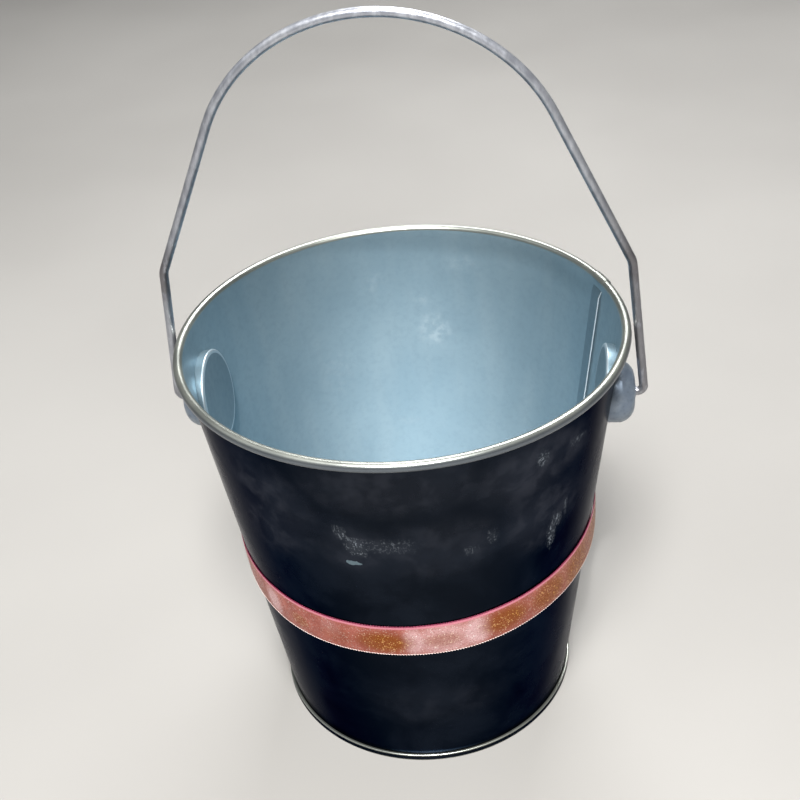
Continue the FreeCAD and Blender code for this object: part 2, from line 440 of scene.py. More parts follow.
def outer_zinc_painted_reflection():
    """Dark, glossy outside of the wall, its dark base a painted reflection of dark surroundings, with
    finger smudges, pale scuffs and a bare chip.
    """
    look = Look("outer_zinc_painted_reflection", Metallic=1.0, Specular_Tint=(0.4, 0.4, 0.42, 1.0))
    clouds = look.noise(look.place, 38, detail=5, roughness=0.6, distortion=0.4)
    smudge = look.noise(look.place, 135, detail=2, roughness=0.55, distortion=0.25)
    mottle = look.noise(look.place, 700, detail=2)
    # Painted reflection: the dark base stands for dark surroundings mirrored in the glossy zinc
    base = look.blend(look.remap(clouds, 0.35, 0.7), tone(25, 30, 38), tone(35, 41, 51))
    haze = look.times(look.painted("haze"), look.remap(smudge, 0.4, 0.72, 0.3, 0.8))
    base = look.blend(look.times(haze, 0.32), base, tone(112, 116, 130))
    flecks = look.noise(look.place, 900, detail=4, roughness=0.7)
    threads = look.noise(look.scaled(1, 1, 0.3), 640, detail=3, roughness=0.6, distortion=2.2)
    marks = look.sums("MAXIMUM", look.remap(flecks, 0.56, 0.62), look.remap(threads, 0.58, 0.64))
    marks = look.sums("MAXIMUM", marks, 0.1)
    scuffs = look.times(look.painted("scuffs"), marks)
    base = look.blend(look.times(scuffs, 0.75), base, tone(178, 188, 200))
    ragged = look.sums("MULTIPLY_ADD", look.noise(look.place, 650, detail=3), 0.5, look.painted("chips"))
    base = look.blend(look.remap(ragged, 0.66, 0.72, 0, 0.8), base, tone(134, 156, 168))
    rough = look.remap(clouds, 0.3, 0.7, 0.2, 0.3)
    rough = look.plus(rough, look.times(haze, 0.3))
    rough = look.plus(rough, look.times(scuffs, 0.3), clamp=True)
    normal = look.bump(look.plus(mottle, look.times(scuffs, 0.8)), 0.03 * MM, 0.25)
    return look.set(Base_Color=base, Roughness=rough, Normal=normal)


def bright_zinc():
    """Burnished zinc of the rim and the foot, its paler base partly a painted highlight, darker and
    bluer round the outside of the rim as painted shade.
    """
    look = Look("bright_zinc", Metallic=0.88)
    clouds = look.noise(look.place, 55, detail=3)
    fine = look.noise(look.place, 900, detail=3, roughness=0.6)
    # Paler base: burnished zinc, partly a painted highlight
    base = look.blend(look.remap(clouds, 0.35, 0.65), tone(152, 156, 150), tone(170, 173, 165))
    base = look.blend(look.remap(fine, 0.45, 0.8, 0, 0.3), base, tone(134, 138, 136))
    # Painted shade round the outside of the rim's roll
    base = look.blend(look.times(look.painted("rim_painted_shade"), 0.8), base, tone(88, 96, 108))
    rough = look.remap(clouds, 0.3, 0.7, 0.28, 0.34)
    rough = look.plus(rough, look.remap(fine, 0.4, 0.8, 0, 0.04))
    return look.set(Base_Color=base, Roughness=rough, Normal=look.bump(fine, 0.006 * MM, 0.1))


def wire_zinc():
    """Dull drawn wire: grey zinc with streaks along it and dark, brownish stains at the bends."""
    look = Look("wire_zinc", Metallic=0.8)
    along = look.noise(look.scaled(1, 1, 0.35), 420, detail=4, roughness=0.65)
    fine = look.noise(look.place, 1600, detail=3, roughness=0.6)
    clouds = look.noise(look.place, 70, detail=3)
    base = look.blend(look.remap(along, 0.35, 0.7), tone(150, 153, 161), tone(186, 189, 196))
    base = look.blend(look.remap(clouds, 0.5, 0.75, 0, 0.5), base, tone(200, 202, 206))
    stains = look.times(look.painted("stains"), look.remap(along, 0.3, 0.52))
    base = look.blend(look.times(stains, 0.8), base, tone(74, 66, 66))
    rough = look.remap(along, 0.3, 0.7, 0.28, 0.38)
    rough = look.plus(rough, look.remap(fine, 0.4, 0.8, 0, 0.1))
    height = look.plus(look.times(along, 0.7), look.times(fine, 0.3))
    return look.set(Base_Color=base, Roughness=rough, Normal=look.bump(height, 0.06 * MM, 0.4))


def ear_steel():
    """Pressed and plated ear: satin blue-grey, clouded and finely dimpled."""
    look = Look("ear_steel", Metallic=0.6)
    dimples = look.noise(look.place, 800, detail=3, roughness=0.55)
    clouds = look.noise(look.place, 130, detail=3)
    base = look.blend(look.remap(clouds, 0.35, 0.68), tone(118, 131, 147), tone(146, 157, 169))
    base = look.blend(look.remap(dimples, 0.5, 0.75, 0, 0.4), base, tone(94, 104, 119))
    rough = look.remap(dimples, 0.3, 0.75, 0.36, 0.52)
    return look.set(Base_Color=base, Roughness=rough, Normal=look.bump(dimples, 0.08 * MM, 0.5))


def ribbon_satin():
    """Rose-gold satin with a fine glitter, a pink selvage, browner patches that are partly blotches and
    partly painted shade, and painted highlights.
    """
    look = Look("ribbon_satin", Metallic=0.25, Specular_IOR_Level=0.22)
    weave = look.add("ShaderNodeUVMap", uv_map="weave").outputs["UV"]
    split = look.add("ShaderNodeSeparateXYZ")
    look.feed(split, "Vector", weave)
    across = split.outputs["Y"]
    flakes = look.cells(look.scaled(1, 1, 0, weave), 3200)
    flake_parts = look.add("ShaderNodeSeparateColor")
    look.feed(flake_parts, "Color", flakes)
    clouds = look.noise(look.place, 160, detail=4, roughness=0.6)
    base = look.blend(look.remap(clouds, 0.35, 0.68), tone(156, 83, 70), tone(182, 106, 92))
    gold = look.times(look.painted("gold"), look.remap(clouds, 0.25, 0.6, 0.75, 1))
    pale = look.painted("pale")
    # Painted highlight: paler, pinkish white where pale is painted
    base = look.blend(look.times(pale, 0.8), base, tone(236, 198, 200))
    warp = look.noise(look.scaled(60, 5200, 1, weave), 1, detail=2)
    base = look.blend(look.remap(warp, 0.35, 0.8, 0, 0.4), base, tone(150, 80, 72))
    dark_flakes = look.remap(flake_parts.outputs["Green"], 0.7, 0.95)
    base = look.blend(look.times(dark_flakes, 0.4), base, tone(128, 62, 52))
    # Browner patches: partly blotches, partly painted shade
    base = look.blend(look.times(gold, 0.97), base, tone(134, 68, 6))
    glitter = look.remap(flake_parts.outputs["Red"], 0.88, 0.96)
    glitter_colour = look.blend(gold, tone(255, 238, 234), tone(250, 190, 104))
    # Glitter shows more in the painted highlights and the browner patches
    shine = look.sums("MULTIPLY_ADD", look.sums("MAXIMUM", gold, pale), 0.5, 0.25)
    base = look.blend(look.times(glitter, shine), base, glitter_colour)
    selvage = look.remap(across, 1.22 * MM, 0.92 * MM)
    base = look.blend(look.times(selvage, 0.9), base, tone(214, 134, 150))
    # Dark magenta line along the upper edge: partly the edge's own colour, partly painted shadow where
    # the ribbon meets the wall
    edge = look.remap(across, 0.3 * MM, 0.1 * MM)
    base = look.blend(look.times(edge, 0.8), base, tone(150, 44, 82))
    rough = look.remap(flake_parts.outputs["Blue"], 0.0, 1.0, 0.26, 0.56)
    threads = look.noise(look.scaled(900, 5200, 1, weave), 1, detail=2)
    height = look.plus(look.times(threads, 0.5), look.times(glitter, 0.8))
    return look.set(Base_Color=base, Roughness=rough, Normal=look.bump(height, 0.06 * MM, 0.7))


def picot_thread(name, dull, bright):
    """Shiny thread of the ribbon's edge loops."""
    look = Look(name, Metallic=0.1)
    twist = look.noise(look.place, 2600, detail=2)
    return look.set(Base_Color=look.blend(look.remap(twist, 0.35, 0.65), dull, bright),
                    Roughness=look.remap(twist, 0.3, 0.7, 0.35, 0.55))


def studio_floor():
    """Pale, matt and faintly clouded."""
    look = Look("studio_floor", Metallic=0.0, Specular_IOR_Level=0.25)
    clouds = look.noise(look.place, 3, detail=3)
    base = look.blend(look.remap(clouds, 0.3, 0.7), tone(150, 148, 145), tone(158, 156, 153))
    return look.set(Base_Color=base, Roughness=look.remap(clouds, 0.3, 0.7, 0.6, 0.7))


INNER_ZINC = inner_zinc("inner_zinc", 0.72)
# Lock seam's flat top and low edge: painted shade
SEAM_ZINC_PAINTED_SHADE = inner_zinc("seam_zinc_painted_shade", 0.8, shade=0.3)
# Lock seam's high fold edge: painted highlight
FOLD_ZINC_PAINTED_HIGHLIGHT = inner_zinc("fold_zinc_painted_highlight", 0.5, shine=0.75)
# Cap's face and skirt: painted shade
CAP_ZINC_PAINTED_SHADE = inner_zinc("cap_zinc_painted_shade", 0.75, shade=0.3)
# Cap's rounded edge: painted highlight
CAP_EDGE_ZINC_PAINTED_HIGHLIGHT = inner_zinc("cap_edge_zinc_painted_highlight", 0.8, shine=0.4)
BASE_ZINC = inner_zinc("base_zinc", 0.5)
OUTER_ZINC_PAINTED_REFLECTION = outer_zinc_painted_reflection()
BRIGHT_ZINC = bright_zinc()
WIRE_ZINC = wire_zinc()
EAR_STEEL = ear_steel()
RIBBON_SATIN = ribbon_satin()
PALE_THREAD = picot_thread("pale_thread", tone(240, 206, 200), tone(255, 244, 240))
MAGENTA_THREAD = picot_thread("magenta_thread", tone(92, 16, 46), tone(124, 30, 66))


# ------------------------ wall of the bucket

# Marks: (azimuth, height mm, half width mm, half height mm, strength)
SCUFFS = [
    (-98.3, 113.5, 4.6, 4.6, 1.0), (-102.0, 119.0, 2.6, 3.4, 0.7), (-90.0, 114.4, 13.0, 2.4, 0.4),
    (-42.6, 100.0, 2.0, 7.5, 1.3), (-40.8, 105.0, 2.4, 4.0, 1.0), (-37.8, 108.0, 1.0, 5.0, 0.7),
    (-48.8, 136.0, 3.0, 4.0, 0.8), (-35.8, 134.5, 5.0, 3.0, 0.6), (-62.8, 112.0, 2.0, 4.0, 0.4),
    (-68.8, 108.0, 3.0, 2.0, 0.35), (61.2, 108.0, 6.0, 5.0, 0.5), (141.2, 92.0, 5.0, 8.0, 0.4),
]
HAZE = [
    (-48.0, 134.0, 30.0, 18.0, 0.9), (-128.0, 122.0, 30.0, 28.0, 0.9), (-88.0, 138.0, 36.0, 14.0, 0.6),
    (-44.8, 112.0, 22.0, 20.0, 0.9), (-76.8, 112.0, 24.0, 16.0, 0.55), (-98.8, 112.0, 16.0, 14.0, 0.6),
    (-80.8, 32.0, 30.0, 14.0, 0.3), (71.2, 96.0, 30.0, 26.0, 0.5), (161.2, 80.0, 28.0, 30.0, 0.4),
    (-138.8, 60.0, 24.0, 24.0, 0.3),
]
CHIPS = [(-100.2, 106.0, 3.2, 2.4, 0.72), (-98.0, 106.8, 2.2, 1.8, 0.5)]
RUBS = [
    (86.2, 108.0, 9.0, 9.0, 0.7), (90.2, 121.0, 5.0, 4.0, 0.5), (77.2, 137.0, 8.0, 4.0, 0.5),
    (97.2, 68.0, 6.0, 3.0, 0.35), (105.2, 130.0, 8.0, 6.0, 0.3), (121.2, 96.0, 10.0, 14.0, 0.2),
    (251.2, 90.0, 12.0, 12.0, 0.3), (301.2, 100.0, 12.0, 16.0, 0.25),
]


def out_of_true(azimuth, z):
    """How far the wall dents in from its cone, nought at the ears, lock seam, rim and foot."""
    angle = math.radians(azimuth)
    slow = waves(1, 1.6 * math.cos(angle), 1.6 * math.sin(angle), 14 * z)
    quick = waves(2, 4.2 * math.cos(angle), 4.2 * math.sin(angle), 40 * z)
    ends = smooth_step(6 * MM, 26 * MM, z) * smooth_step(6 * MM, 20 * MM, RIM_TOP - z)
    ears = min(smooth_step(20, 34, abs(around(azimuth, ear))) for ear in (0, 180))
    lock = smooth_step(3, 9, abs(around(azimuth, LOCK_START + LOCK_WIDTH / 2)))
    return -abs(0.16 * slow + 0.05 * quick) * MM * ends * ears * lock


def groove(azimuth, z):
    """Depth of the fine line outside, where the sheet's edge tucks into the lock seam."""
    across = math.radians(around(azimuth, LOCK_START)) * wall_radius(z)
    ends = smooth_step(4 * MM, 6 * MM, z) * smooth_step(2 * MM, 4 * MM, RIM_TOP - z)
    return 0.2 * MM * ends * max(0.0, 1 - abs(across) / (0.32 * MM))


def wall_azimuths():
    fine = [LOCK_START - 1.5 + 0.15 * i for i in range(44)]
    last = fine[-1]
    count = 340
    step = (360 - (last - fine[0])) / count
    return fine + [last + step * i for i in range(1, count)]


def pail_wall():
    """The rolled sheet: hook at the foot, slanted wall with its ear holes, and the rim's roll."""
    hook_radius = FOOT_MID + 2 * SHEET
    bottom = SHEET * 1.5
    setback = TIGHT_BEND * math.tan(SLANT / 2)
    wall_move, curl_move = 6, 7
    line = bent_sheet(
        (hook_radius, HOOK_TOP),
        -90,
        [
            (HOOK_TOP - bottom - TIGHT_BEND, 0),
            (TIGHT_BEND, -90),
            (2 * SHEET - 2 * TIGHT_BEND, 0),
            (TIGHT_BEND, -90),
            (FOOT_WALL_HEIGHT - bottom - TIGHT_BEND - setback, 0),
            (TIGHT_BEND, -math.degrees(SLANT)),
            (WALL_RUN - setback, 0),
            (CURL_MID, -CURL_TURN),
        ],
        2.4 * MM,
    )
    loop = sheet_loop(line, SHEET)
    azimuths = wall_azimuths()
    points = []
    for azimuth in azimuths:
        for radius, z, side, move in loop:
            if move == wall_move:
                radius += out_of_true(azimuth, z)
                if side == "right":
                    radius -= groove(azimuth, z)
            elif move == curl_move:
                angle = math.radians(azimuth)
                radius -= 0.08 * MM * abs(waves(3, 2 * math.cos(angle), 2 * math.sin(angle), 0))
            points.append(on_wall(radius, azimuth, z))
    rows = len(loop)
    faces = grid(rows, len(azimuths))
    looks = []
    for number in range(len(faces)):
        after = loop[(number % rows + 1) % rows]
        # Outer faces take the outer zinc, whose dark base is a painted reflection
        if after[2] == "right":
            looks.append(1)
        else:
            # The roll takes the bright zinc, with its painted highlight and painted shade
            looks.append(2 if after[3] == curl_move else 0)
    wall = piece(
        "pail_wall", points, faces, [INNER_ZINC, OUTER_ZINC_PAINTED_REFLECTION, BRIGHT_ZINC],
        "bucket", ["bucket_shell"], looks,
    )
    cut_ear_holes(wall)
    paint_marks(wall, "scuffs", SCUFFS)
    paint_marks(wall, "haze", HAZE)
    paint_marks(wall, "chips", CHIPS)
    paint_marks(wall, "rubs", RUBS)
    paint(wall, "rim_painted_shade", rim_painted_shade_share)
    return wall


def rim_painted_shade_share(point):
    """Painted shade: nought on top of the rim's roll, rising to one on its outer side."""
    way = math.atan2(point.z - CURL_CENTRE[1], point.xy.length - CURL_CENTRE[0])
    return 1 - smooth_step(15, 62, math.degrees(way))


def cut_ear_holes(wall):
    """Bores the two round holes that the ears' sleeves pass through."""
    sides = 48
    points = []
    for x in (-RIM_RADIUS, RIM_RADIUS):
        for i in range(sides):
            angle = 2 * math.pi * (i + 0.5) / sides
            points.append((x, WALL_HOLE_RADIUS * math.cos(angle),
                           PIVOT_HEIGHT + WALL_HOLE_RADIUS * math.sin(angle)))
    faces = [(i, (i + 1) % sides, sides + (i + 1) % sides, sides + i) for i in range(sides)]
    faces += [tuple(range(sides))[::-1], tuple(range(sides, 2 * sides))]
    mesh = bpy.data.meshes.new("ear_drill")
    mesh.from_pydata(points, [], faces)
    drill = placed("ear_drill", mesh)
    cut = wall.modifiers.new("ear_holes", "BOOLEAN")
    cut.operation = "DIFFERENCE"
    cut.solver = "EXACT"
    cut.object = drill
    bpy.context.view_layer.update()
    graph = bpy.context.evaluated_depsgraph_get()
    bored = bpy.data.meshes.new_from_object(wall.evaluated_get(graph))
    wall.modifiers.remove(cut)
    old = wall.data
    wall.data = bored
    bored.name = "pail_wall"
    bpy.data.meshes.remove(old)
    bpy.data.objects.remove(drill)
    bpy.data.meshes.remove(mesh)


def lock_seam():
    """Folded lock up the inside of the wall: one high edge, one low edge, both rounded, the high fold
    edge a painted highlight and the rest in painted shade.
    """
    low, high = FLOOR_TOP + 0.4 * MM, RIM_TOP - LOCK_TOP_GAP
    rows = 60
    fold = 0.24 * MM
    sunk = -0.15 * MM
    low_rise = 0.5 * MM
    fold_steps = 6
    near = [(0.0, sunk)]
    far = []
    for i in range(fold_steps + 1):
        angle = math.pi / 2 * i / fold_steps
        near.append((fold * (1 - math.cos(angle)), LOCK_RISE - fold + fold * math.sin(angle)))
        far.append((-fold * (1 - math.sin(angle)), low_rise - fold * (1 - math.cos(angle))))
    far.append((0.0, sunk))
    points = []
    for j in range(rows + 1):
        z = low + (high - low) * j / rows
        taper = smooth_step(-0.1 * MM, 1.2 * MM, high - z) * smooth_step(-0.1 * MM, 0.8 * MM, z - low)
        inside = wall_radius(z, SHEET)
        width = math.radians(LOCK_WIDTH) * inside
        outline = near + [(width + t, h) for t, h in far]
        for across, rise in outline:
            lift = rise * taper if rise > 0 else rise
            azimuth = LOCK_START + math.degrees(across / inside)
            points.append(on_wall(inside - lift / math.cos(SLANT), azimuth, z))
    count = len(near) + len(far)
    faces = closed_strip(count, rows + 1)
    # Faces of the high fold take the painted highlight zinc, the rest the painted shade zinc
    looks = [1 if 0 < i % count <= fold_steps else 0 for i in range(len(faces) - 2)] + [0, 0]
    seam = piece("lock_seam", points, faces, [SEAM_ZINC_PAINTED_SHADE, FOLD_ZINC_PAINTED_HIGHLIGHT], "bucket",
                 ["bucket_shell"], looks, crease=50)
    paint(seam, "rubs", lambda p: 0.0)
    return seam


def rim_lap():
    """Short outer layer on the rim's roll, where one end of the sheet laps the other."""
    mid_radius = CURL_RADIUS + SHEET / 2 - 0.05 * MM
    begin, turn = 160.0, -250.0
    steps, columns = 26, 30
    width = math.radians(LAP_WIDTH) * RIM_RADIUS
    points = []
    for j in range(columns + 1):
        share = j / columns
        from_end = min(share, 1 - share) * width
        edge = min(1.0, from_end / (0.14 * MM))
        rise = math.sqrt(1 - (1 - edge) ** 2)
        outer = mid_radius + SHEET / 2 * (2 * rise - 1)
        inner = mid_radius - SHEET / 2 - 0.02 * MM
        for radius, order in ((outer, range(steps + 1)), (inner, range(steps, -1, -1))):
            for i in order:
                angle = math.radians(begin + turn * i / steps)
                r = CURL_CENTRE[0] + radius * math.cos(angle)
                z = CURL_CENTRE[1] + radius * math.sin(angle)
                points.append(on_wall(r, LAP_START + LAP_WIDTH * share, z))
    count = 2 * (steps + 1)
    faces = closed_strip(count, columns + 1)
    lap = piece("rim_lap", points, faces, [BRIGHT_ZINC], "bucket",
                ["bucket_shell"])
    paint(lap, "rim_painted_shade", rim_painted_shade_share)
    return lap


def base_panel():
    """Recessed base whose edge wraps the wall's hook in a double seam."""
    skirt_radius = FOOT_MID - SHEET
    outer_radius = FOOT_MID + 3 * SHEET
    half = SHEET / 2
    panel_mid = FLOOR_TOP - half
    line = bent_sheet(
        (0, panel_mid),
        0,
        [
            (skirt_radius - FLOOR_BEND, 0),
            (FLOOR_BEND, -90),
            (panel_mid - FLOOR_BEND - half - FOOT_BEND, 0),
            (FOOT_BEND, 90),
            (outer_radius - skirt_radius - 2 * FOOT_BEND, 0),
            (FOOT_BEND, 90),
            (SEAM_HEIGHT - 2 * half - FOOT_BEND - TIGHT_BEND, 0),
            (TIGHT_BEND, 90),
            (2 * SHEET - 2 * TIGHT_BEND, 0),
            (TIGHT_BEND, 90),
            (SEAM_HEIGHT - half - TIGHT_BEND - COVER_HOOK_END, 0),
        ],
        2.6 * MM,
    )
    panel_move, seam_move = 0, 6
    loop = sheet_loop(line, SHEET)
    columns = 300
    points = []
    for j in range(columns):
        azimuth = 360 * j / columns
        angle = math.radians(azimuth)
        for radius, z, side, move in loop:
            if move == panel_move:
                inward = smooth_step(0, 14 * MM, skirt_radius - radius)
                ripple = waves(4, 40 * radius * math.cos(angle), 40 * radius * math.sin(angle), 0)
                z -= 0.18 * MM * inward * abs(ripple)
            elif move == seam_move:
                radius -= 0.05 * MM * abs(waves(5, 9 * math.cos(angle), 9 * math.sin(angle), 300 * z))
            points.append(on_wall(radius, azimuth, z))
    faces = grid(len(loop), columns, join_rows=False)
    looks = []
    for number in range(len(faces)):
        spot = number % (len(loop) - 1)
        side = loop[spot][2]
        move = loop[spot + 1][3] if side == "left" else loop[spot][3]
        # Panel top: base zinc; seam's outer face: outer zinc with its painted reflection; all else:
        # bright zinc, partly a painted highlight
        looks.append({(panel_move, "left"): 0, (seam_move, "right"): 2}.get((move, side), 1))
    base = piece("base_panel", points, faces, [BASE_ZINC, BRIGHT_ZINC, OUTER_ZINC_PAINTED_REFLECTION], "bucket",
                 ["base_disc"], looks)
    paint(base, "rim_painted_shade", lambda p: 0.0)
    worn = Vector((12, -10)) * MM
    paint(base, "rubs", lambda p: 0.4 * smooth_step(30 * MM, 0, (p.xy - worn).length))
    return base


# ------------------------ bail

def bail_line():
    """Mid-line of the wire in its own plane: points (across, up) from one end to the other."""
    reach = math.hypot(KINK_HALF_WIDTH, KINK_HEIGHT - BOW_HEIGHT)
    low_angle = math.atan2(KINK_HEIGHT - BOW_HEIGHT, KINK_HALF_WIDTH)
    touch = low_angle + math.acos(BOW_RADIUS / reach)
    touch_point = (BOW_RADIUS * math.cos(touch), BOW_HEIGHT + BOW_RADIUS * math.sin(touch))
    corners = [Vector(c) for c in (
        (WIRE_END, 0), (HOOK_HALF_WIDTH, 0), (KINK_HALF_WIDTH, KINK_HEIGHT), touch_point)]
    right = rounded_run(corners, [HOOK_BEND, KINK_BEND], 1.6 * MM)
    bow_steps = 70
    half = [touch + (math.pi / 2 - touch) * i / bow_steps for i in range(1, bow_steps + 1)]
    right += [Vector((BOW_RADIUS * math.cos(a), BOW_HEIGHT + BOW_RADIUS * math.sin(a))) for a in half]
    left = [Vector((-p.x, p.y)) for p in right[:-1]]
    return right + left[::-1]


def rounded_run(corners, bends, step):
    """Points along straight runs through corners, with an arc of the given radius at each."""
    points = [corners[0]]
    for before, corner, after, bend in zip(corners, corners[1:], corners[2:], bends):
        way_in = (corner - before).normalized()
        way_out = (after - corner).normalized()
        turn = way_in.angle(way_out)
        setback = bend * math.tan(turn / 2)
        points += straight(points[-1], corner - way_in * setback, step)
        inward = (way_out - way_in).normalized()
        centre = corner + inward * (bend / math.cos(turn / 2))
        spoke = points[-1] - centre
        side = 1 if way_in.x * way_out.y - way_in.y * way_out.x > 0 else -1
        arc_steps = 16
        for i in range(1, arc_steps + 1):
            points.append(centre + Matrix.Rotation(side * turn * i / arc_steps, 2) @ spoke)
    return points + straight(points[-1], corners[-1], step)


def straight(start, end, step):
    """Points after start up to end, about step apart."""
    count = max(1, round((end - start).length / step))
    return [start + (end - start) * i / count for i in range(1, count + 1)]


# Where pliers flattened the wire: (side, height up the leg mm, half length mm, way round, depth mm)
PLIER_FLATS = [
    (1, 1.6, 2.2, 60, 0.22), (1, 54.0, 3.5, 250, 0.20), (1, 46.5, 2.6, 90, 0.18),
    (1, 60.0, 2.6, 300, 0.14), (-1, 1.8, 2.2, 120, 0.20), (-1, 52.0, 3.2, 280, 0.18),
    (-1, 45.0, 3.0, 70, 0.15),
]


def bail():
    """Round galvanised wire: bow over the top, a kink in each leg, and a hook into each ear."""
    line = bail_line()
    lean = math.radians(BAIL_LEAN)
    across = Vector((1, 0, 0))
    up = Vector((0, -math.sin(lean), math.cos(lean)))
    out = across.cross(up)
    pivot = Vector((0, 0, PIVOT_HEIGHT))
    sides = 32
    points = []
    for number, place in enumerate(line):
        before = line[max(0, number - 1)]
        after = line[min(len(line) - 1, number + 1)]
        along = (after - before).normalized()
        side = across * -along.y + up * along.x
        centre = pivot + across * place.x + up * place.y
        in_hook = smooth_step(3 * MM, 9 * MM, place.y)
        sway = in_hook * 0.22 * MM * waves(6, 30 * place.x, 30 * place.y, 0)
        centre += out * sway
        for i in range(sides):
            angle = 360 * i / sides
            radius = WIRE_RADIUS * (0.985 - 0.012 * abs(waves(7, 400 * place.x, 400 * place.y, i / 3)))
            radius -= plier_depth(place, angle)
            turn = math.radians(angle)
            points.append(centre + (side * math.cos(turn) + out * math.sin(turn)) * radius)
    faces = grid(sides, len(line), join_columns=False)
    first = len(points)
    points += [sum(points[:sides], Vector()) / sides, sum(points[-sides:], Vector()) / sides]
    last_ring = (len(line) - 1) * sides
    for i in range(sides):
        faces.append((first, (i + 1) % sides, i))
        faces.append((first + 1, last_ring + i, last_ring + (i + 1) % sides))
    wire = piece("bail", points, faces, [WIRE_ZINC], "bail", ["bail_wire"])

    def stain(p):
        """Dark at the kinks and the hooks, and along the right leg."""
        height = ((p - pivot).dot(up)) / MM
        kink = 1 - smooth_step(4, 15, abs(height - 51))
        hook = 1 - smooth_step(2, 8, height)
        right_leg = smooth_step(40 * MM, 70 * MM, p.x) * (1 - smooth_step(50, 90, height))
        return max(0.9 * kink, 0.6 * hook, 0.08 + 0.65 * right_leg)

    paint(wire, "stains", stain)
    return wire


def plier_depth(place, angle):
    """How deep the wire is flattened, at a place on its mid-line and an angle round it."""
    depth = 0.0
    for side, height, half_length, way, deepest in PLIER_FLATS:
        if side * place.x > 60 * MM:
            near = 1 - smooth_step(0.3, 1.0, abs(place.y / MM - height) / half_length)
            facing = max(0.0, math.cos(math.radians(around(angle, way)))) ** 3
            depth += deepest * MM * near * facing
    return depth


# ------------------------ ears

def ear_section():
    """Closed section of the ear's boss and sleeve: (x, radius, follows the wall or not)."""
    crown = (BOSS_TOP, BOSS_FLAT_RADIUS)
    shoulder = (BOSS_SHOULDER, BOSS_RADIUS)
    inner_crown = (BOSS_TOP - BOSS_WALL, SLEEVE_RADIUS)
    inner_shoulder = (BOSS_SHOULDER, BOSS_RADIUS - BOSS_WALL)
    lip = 0.22 * MM
    section = [(LIP_TOP - lip, BORE_RADIUS)]
    section += arc_points(section[-1], (LIP_TOP, BORE_RADIUS + lip), 0.08 * MM, 4)
    section.append((LIP_TOP, LIP_RADIUS - lip))
    section += arc_points(section[-1], (LIP_TOP - lip, LIP_RADIUS), 0.08 * MM, 4)
    section.append((BOSS_TOP + 0.12 * MM, LIP_RADIUS + 0.06 * MM))
    section += [(BOSS_TOP, LIP_RADIUS + 0.3 * MM), crown]
    section += arc_points(crown, shoulder, BOSS_BULGE, 22)
    outer = [(x, r, False) for x, r in section]
    skirt = [(x, r, True) for x, r in (
        (1, BOSS_RADIUS), (1, BOSS_RADIUS - 0.05 * MM), (1, BOSS_RADIUS - BOSS_WALL))]
    inner = [inner_shoulder] + arc_points(inner_shoulder, inner_crown, -BOSS_BULGE, 12)
    inner += [(SLEEVE_END, SLEEVE_RADIUS), (SLEEVE_END, BORE_RADIUS)]
    return outer + skirt + [(x, r, False) for x, r in inner]


def ear_boss(side, word):
    """Domed button outside the wall, with the sleeve that the wire turns in."""
    section = ear_section()
    columns = 96
    points = []
    for j in range(columns):
        angle = 2 * math.pi * j / columns
        for x, radius, at_wall in section:
            y = radius * math.cos(angle)
            z = PIVOT_HEIGHT + radius * math.sin(angle)
            if at_wall:
                x = math.sqrt(wall_radius(z) ** 2 - y ** 2) - 0.03 * MM
            points.append((side * x, y, z))
    faces = grid(len(section), columns)
    return piece("boss_" + word, points, faces, [EAR_STEEL], "bucket",
                 ["ear_boss_" + word])


def ear_cap(side, word):
    """Pressed round cap inside the wall, over the end of the sleeve, its face and skirt in painted shade
    and its rounded edge a painted highlight.
    """
    inward = Vector((-math.cos(SLANT), 0, math.sin(SLANT)))
    across = Vector((0, 1, 0))
    up = Vector((math.sin(SLANT), 0, math.cos(SLANT)))
    foot = Vector((wall_radius(PIVOT_HEIGHT, SHEET), 0, PIVOT_HEIGHT))
    edge_steps = 7
    outer = [(CAP_PROUD - 0.1 * MM, 0.0), (CAP_PROUD - 0.1 * MM, 4 * MM),
             (CAP_PROUD - 0.08 * MM, 9 * MM), (CAP_PROUD - 0.03 * MM, 13 * MM),
             (CAP_PROUD, CAP_RADIUS - CAP_EDGE - 0.6 * MM)]
    for i in range(edge_steps + 1):
        angle = math.pi / 2 * i / edge_steps
        outer.append((CAP_PROUD - CAP_EDGE * (1 - math.cos(angle)),
                      CAP_RADIUS - CAP_EDGE * (1 - math.sin(angle))))
    inner = [(CAP_PROUD - CAP_WALL - CAP_EDGE, CAP_RADIUS - CAP_WALL),
             (CAP_PROUD - CAP_WALL - 0.2 * MM, CAP_RADIUS - CAP_WALL - 0.4 * MM),
             (CAP_PROUD - CAP_WALL - 0.1 * MM, CAP_RADIUS - CAP_WALL - 1.2 * MM),
             (CAP_PROUD - CAP_WALL - 0.1 * MM, 0.0)]
    columns = 120
    points = []
    for j in range(columns):
        angle = 2 * math.pi * j / columns
        spoke = across * math.cos(angle) + up * math.sin(angle)
        ring = [foot + inward * depth + spoke * radius for depth, radius in outer]
        for radius in (CAP_RADIUS - 0.12 * MM, CAP_RADIUS - CAP_WALL):
            ring.append(drop_to_wall(foot + spoke * radius, inward))
        ring += [foot + inward * depth + spoke * radius for depth, radius in inner]
        points += [(side * p.x, p.y, p.z) for p in ring]
    rows = len(outer) + 2 + len(inner)
    faces = grid(rows, columns, join_rows=False)
    flat = 4
    # The rounded edge takes the painted highlight zinc, the face and skirt the painted shade zinc
    looks = [1 if flat <= i % (rows - 1) < flat + edge_steps else 0 for i in range(len(faces))]
    cap = piece("cap_" + word, points, faces, [CAP_ZINC_PAINTED_SHADE, CAP_EDGE_ZINC_PAINTED_HIGHLIGHT], "bucket",
                ["ear_cap_" + word], looks)
    paint(cap, "rubs", lambda p: 0.0)
    return cap


